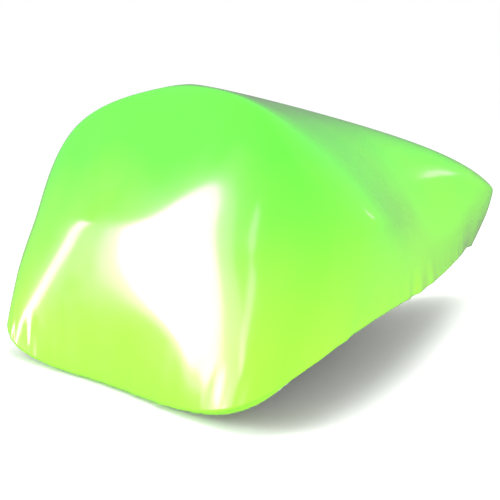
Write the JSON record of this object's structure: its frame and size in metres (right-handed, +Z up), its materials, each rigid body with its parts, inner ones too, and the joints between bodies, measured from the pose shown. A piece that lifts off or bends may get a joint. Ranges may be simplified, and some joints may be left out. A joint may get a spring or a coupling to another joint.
{
  "type": "bicycle saddle with stretch cover",
  "caption": "Wide comfort bicycle saddle under a glossy elastic-hemmed stretch cover, on a tilting and sliding clamp for a plain seat post.",
  "frame": {"origin": "on the seat post's axis, at the mouth of the post collar", "axes": "+X towards the saddle's nose, +Z up, along the seat post"},
  "size_m": [0.2528, 0.2124, 0.1202],
  "materials": {
    "film": "mirror-gloss stretch film",
    "elastic": "covered elastic cord",
    "skin": "fine-grained imitation leather",
    "foam": "moulded foam with a closed skin",
    "shell": "moulded plastic",
    "socket": "glass-filled plastic",
    "steel": "zinc plated",
    "rail": "drawn steel rod",
    "plate": "forged and zinc plated",
    "collar": "zinc plated band"
  },
  "bodies": {
    "post": {"post_collar": "collar"},
    "clamp": {"inner_plate_left": "plate", "inner_plate_right": "plate", "outer_plate_left": "plate", "outer_plate_right": "plate", "clamp_bolt": "steel", "clamp_nuts": "steel", "clamp_washers": "steel"},
    "saddle": {"saddle_skin": "skin", "foam_pad": "foam", "base_shell": "shell", "skin_staples": "steel", "nose_socket": "socket", "rear_socket_left": "socket", "rear_socket_right": "socket", "socket_screws": "steel", "rail_left": "rail", "rail_right": "rail"},
    "cover": {"cover_film": "film", "hem_channel": "film", "hem_elastic": "elastic"}
  },
  "joints": [
    {"name": "tilt", "type": "hinge", "parent": "post", "child": "clamp", "pos_m": [-0.0197, 0, 0.013], "axis": [0, 1, 0], "range_deg": [-12, 12]},
    {"name": "fore_aft", "type": "slide", "parent": "clamp", "child": "saddle", "axis": [1, 0, 0], "range_m": [-0.012, 0.012]},
    {"name": "cover_off", "type": "slide", "parent": "saddle", "child": "cover", "axis": [0.5, 0, 0.866], "range_m": [0, 0.2], "deforming": ["cover_film", "hem_channel", "hem_elastic"]}
  ]
}
